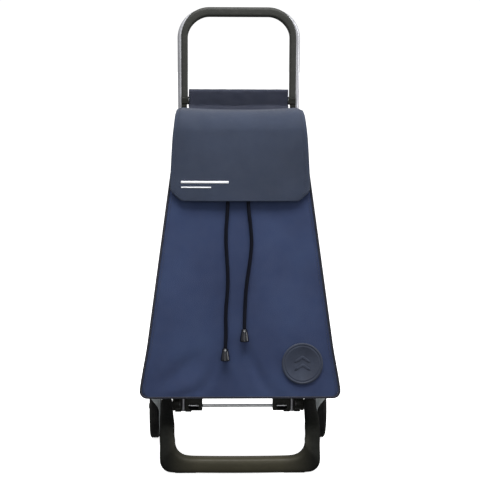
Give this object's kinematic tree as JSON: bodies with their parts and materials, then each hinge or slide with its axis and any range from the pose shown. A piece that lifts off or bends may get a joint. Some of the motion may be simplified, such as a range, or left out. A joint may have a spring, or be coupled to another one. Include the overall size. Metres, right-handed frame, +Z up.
{
  "type": "folding shopping trolley",
  "caption": "Two-wheeled folding shopping trolley: inverted-U tube frame, tapered fabric bag with a flap and drawstring, and a U-shaped front stand that folds up.",
  "frame": {"origin": "on the floor, under the middle of the trolley's outside box", "axes": "+Z up, -Y towards the bag's front and the stand, X across the wheels"},
  "size_m": [0.412, 0.337, 0.96],
  "materials": {
    "bright_tube": "bright polished",
    "zinc_steel": "zinc plated, satin",
    "black_plastic": "fine moulded grain",
    "grip_plastic": "soft matt",
    "grey_plastic": "fine moulded grain",
    "tyre_rubber": "matt rubber",
    "navy_fabric": "plain weave, matt",
    "flap_fabric": "plain weave, slight sheen",
    "black_webbing": "woven",
    "board_plastic": "ribbed sheet",
    "badge_rubber": "matt, embossed",
    "cord_braid": "braided"
  },
  "bodies": {
    "frame": {"frame_tube": "bright_tube", "handle_grip": "grip_plastic", "crossbar": "zinc_steel", "axle": "zinc_steel", "bag_shell": "navy_fabric", "bag_sleeve": "navy_fabric", "bag_badge": "badge_rubber", "crossbar_clamp_left": "black_plastic", "crossbar_clamp_right": "black_plastic", "clamp_screw_left": "zinc_steel", "clamp_screw_right": "zinc_steel", "knuckle_left": "black_plastic", "knuckle_right": "black_plastic", "knuckle_bolt_left": "zinc_steel", "knuckle_bolt_right": "zinc_steel", "axle_spacer_left": "zinc_steel", "axle_spacer_right": "zinc_steel", "pivot_pin_left": "zinc_steel", "pivot_pin_right": "zinc_steel", "pivot_washer_left": "zinc_steel", "pivot_washer_right": "zinc_steel", "axle_cap_left": "black_plastic", "axle_cap_right": "black_plastic", "wheel_guard_left": "grey_plastic", "wheel_guard_right": "grey_plastic", "tube_loop_left": "black_webbing", "tube_loop_right": "black_webbing", "cord_outlet_left": "black_plastic", "cord_outlet_right": "black_plastic", "cord_tail_left": "cord_braid", "cord_tail_right": "cord_braid", "cord_bell_left": "black_plastic", "cord_bell_right": "black_plastic"},
    "wheel_left": {"tyre_left": "tyre_rubber", "wheel_rim_left": "black_plastic", "wheel_bush_left": "grey_plastic"},
    "wheel_right": {"tyre_right": "tyre_rubber", "wheel_rim_right": "black_plastic", "wheel_bush_right": "grey_plastic"},
    "stand": {"stand": "black_plastic", "foot_pad_left": "tyre_rubber", "foot_pad_right": "tyre_rubber"},
    "base": {"base_board": "board_plastic"},
    "flap": {"flap": "flap_fabric"}
  },
  "joints": [
    {"name": "wheel_left_spin", "type": "hinge", "parent": "frame", "child": "wheel_left", "pos_m": [-0.186, 0.0965, 0.072], "axis": [1, 0, 0], "continuous": true},
    {"name": "wheel_right_spin", "type": "hinge", "parent": "frame", "child": "wheel_right", "pos_m": [0.186, 0.0965, 0.072], "axis": [1, 0, 0], "continuous": true},
    {"name": "stand_fold", "type": "hinge", "parent": "frame", "child": "stand", "pos_m": [0, 0.0465, 0.09], "axis": [-1, 0, 0], "range_deg": [0, 88], "deforming": ["bag_shell", "bag_badge", "cord_outlet_left", "cord_outlet_right", "cord_tail_left", "cord_tail_right", "cord_bell_left", "cord_bell_right"]},
    {"name": "base_fold", "type": "hinge", "parent": "frame", "child": "base", "pos_m": [0, 0.0665, 0.1685], "axis": [-1, 0, 0], "range_deg": [0, 90], "deforming": ["bag_shell"]},
    {"name": "flap_hinge", "type": "hinge", "parent": "frame", "child": "flap", "pos_m": [0, 0.0705, 0.7445], "axis": [-1, 0, 0], "range_deg": [0, 92]}
  ],
  "couplings": [
    {"joint": "base_fold", "follows": "stand_fold", "ratio": 1.0227}
  ]
}
